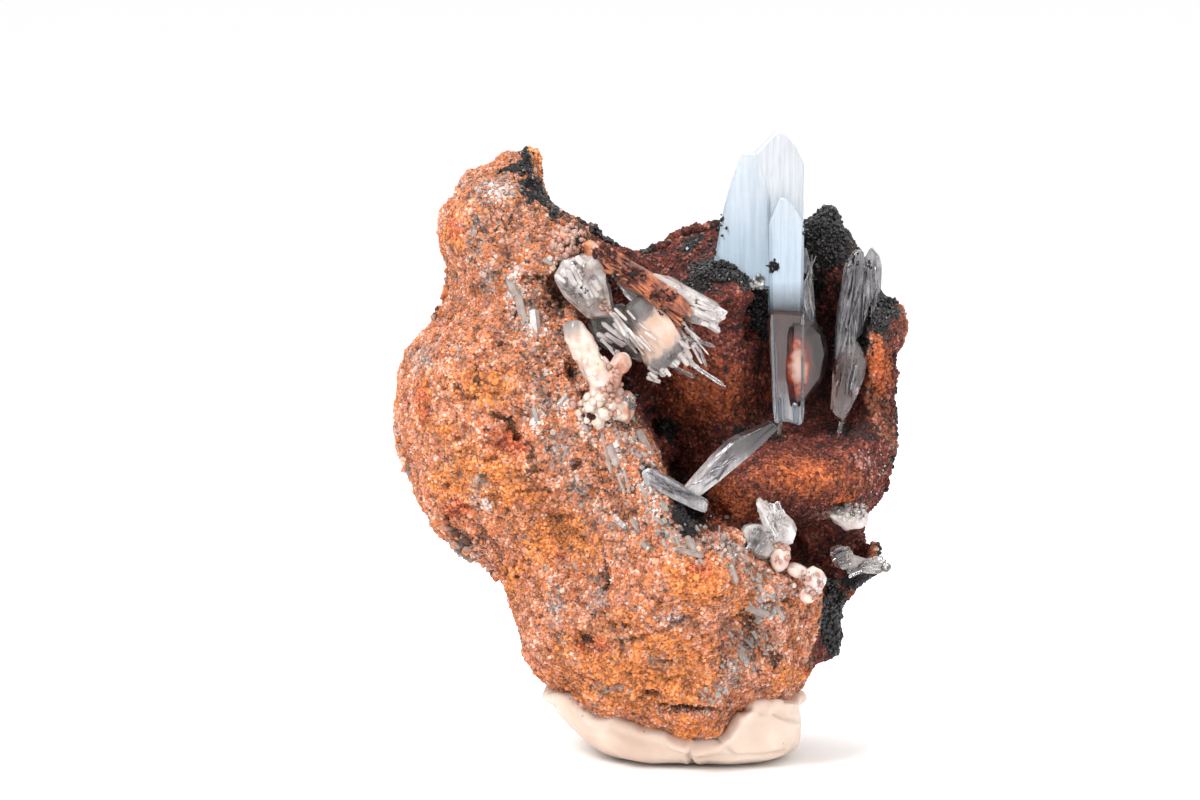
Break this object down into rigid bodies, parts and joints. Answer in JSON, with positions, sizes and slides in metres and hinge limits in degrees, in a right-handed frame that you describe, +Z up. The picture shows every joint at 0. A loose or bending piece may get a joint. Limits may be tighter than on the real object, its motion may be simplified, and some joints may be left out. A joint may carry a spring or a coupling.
{
  "type": "barite specimen",
  "caption": "Blue and clear tabular barite crystals in an open hollow of rust-brown iron-oxide rock, propped upright on a pad of white putty.",
  "frame": {"origin": "on the flat foot of the putty pad, under the middle of the rock", "axes": "+Z up, +Y away from the viewer who looks into the open hollow, +X to that viewer's right"},
  "size_m": [0.0406, 0.0314, 0.0504],
  "materials": {
    "iron_oxide_rock": "granular goethite and hematite, rust-orange outside, dark red and black in the hollow",
    "putty": "off-white mineral putty, satin, pressed by hand",
    "blue_barite": "pale blue barite, vitreous, fine vertical striations, frosted white tip",
    "clear_barite": "colourless to smoky barite, vitreous, striated",
    "cream_barite": "cream to pink massive barite, waxy",
    "white_barite": "white to translucent barite, frosted"
  },
  "bodies": {
    "root": {"matrix": "iron_oxide_rock", "putty_pad": "putty", "blue_barite": "blue_barite", "grey_barite": "clear_barite", "left_barite": "clear_barite", "cream_finger": "cream_barite", "crossed_barite": "clear_barite", "rim_barite": "white_barite", "ledge_barite": "white_barite", "recess_barite": "clear_barite"}
  },
  "joints": []
}
